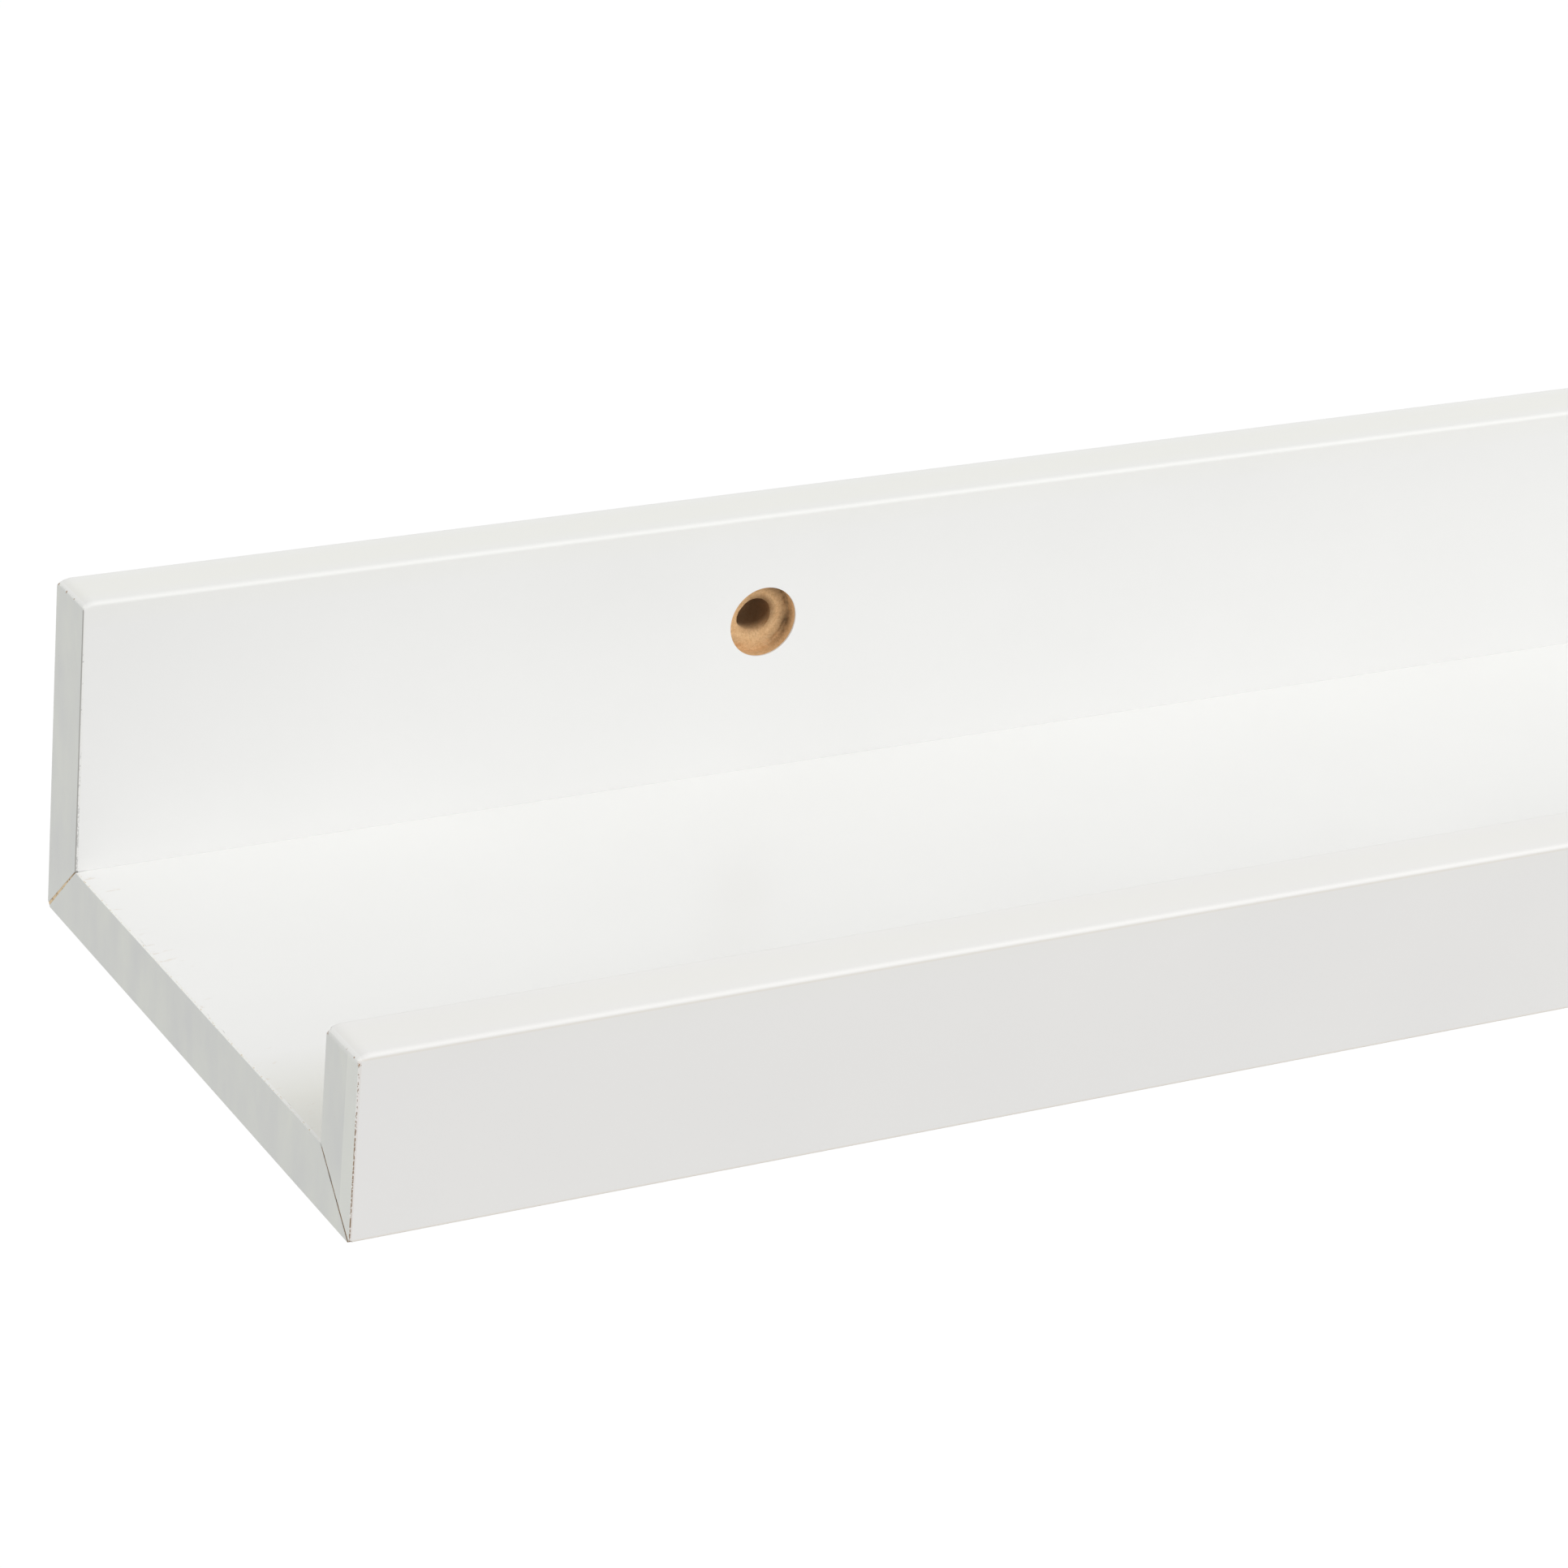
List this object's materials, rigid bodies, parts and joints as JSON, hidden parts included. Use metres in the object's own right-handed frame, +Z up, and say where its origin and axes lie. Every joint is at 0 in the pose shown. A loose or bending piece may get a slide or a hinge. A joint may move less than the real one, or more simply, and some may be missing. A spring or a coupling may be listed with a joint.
{
  "type": "floating wall shelf",
  "caption": "White picture ledge: mitred back board, bottom board and low front lip, screwed to a wall through counterbored holes in the back board.",
  "frame": {"origin": "on the wall plane, midway between the two screw holes and at their height", "axes": "+X along the shelf, to the right as seen from the room; +Y into the wall; +Z up"},
  "size_m": [0.6096, 0.0965, 0.0476],
  "materials": {
    "mdf": "raw medium-density fibreboard, bare in the screw holes and along the mitre seams",
    "white_foil": "white wrapping foil, semi-gloss with a fine even grain",
    "edge_tape": "white edge tape, satin, trimmed flush and lightly scuffed",
    "adhesive": "set wood glue, brown with fibre dust"
  },
  "bodies": {
    "root": {"back_board_core": "mdf", "back_board_foil": "white_foil", "back_board_tape_left": "edge_tape", "back_board_tape_right": "edge_tape", "bottom_board_core": "mdf", "bottom_board_top_foil": "white_foil", "bottom_board_under_foil": "white_foil", "bottom_board_tape_left": "edge_tape", "bottom_board_tape_right": "edge_tape", "front_lip_core": "mdf", "front_lip_foil": "white_foil", "front_lip_tape_left": "edge_tape", "front_lip_tape_right": "edge_tape", "back_mitre_glue": "adhesive", "front_mitre_glue": "adhesive"}
  },
  "joints": []
}
